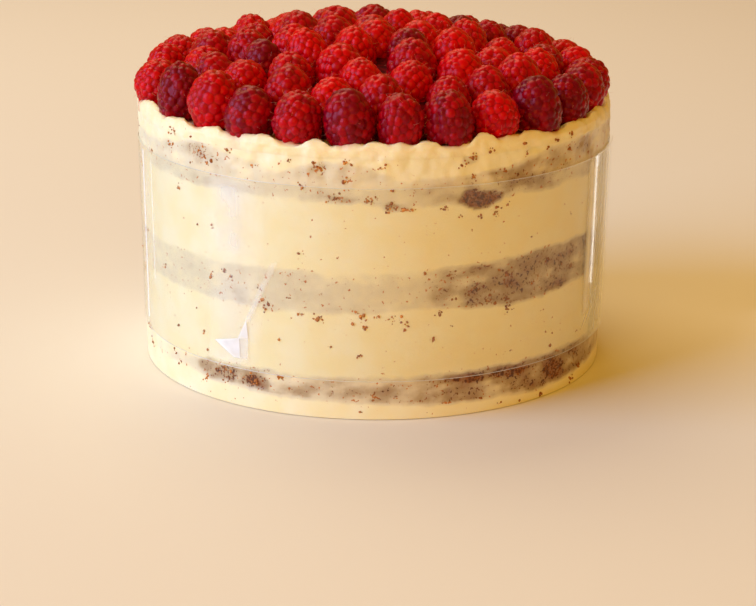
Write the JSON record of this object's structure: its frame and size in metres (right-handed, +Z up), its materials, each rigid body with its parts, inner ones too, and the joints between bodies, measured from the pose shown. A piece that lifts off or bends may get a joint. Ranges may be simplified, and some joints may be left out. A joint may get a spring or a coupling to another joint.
{
  "type": "raspberry layer cake",
  "caption": "Round semi-naked sponge layer cake with cream fillings, a crown of raspberries and a clear film collar.",
  "frame": {"origin": "middle of the cake's flat base, on the surface that it stands on", "axes": "+Z up along the cake's round axis, -Y towards the front of the picture, +X to its right"},
  "size_m": [0.2034, 0.2028, 0.1445],
  "materials": {
    "sponge": "matte golden brown sponge crumb",
    "cream": "smooth satin pale yellow cream",
    "scraped_cream": "thin scraped cream with crumbs and a veil over the sponge",
    "raspberry": "soft satin crimson drupelets",
    "clear_film": "thin glossy clear acetate film"
  },
  "bodies": {
    "root": {"sponge_bottom": "sponge", "sponge_middle": "sponge", "sponge_top": "sponge", "cream_lower": "cream", "cream_upper": "cream", "cream_top": "cream", "cream_coat": "scraped_cream", "raspberries": "raspberry", "film_collar": "clear_film"}
  },
  "joints": []
}
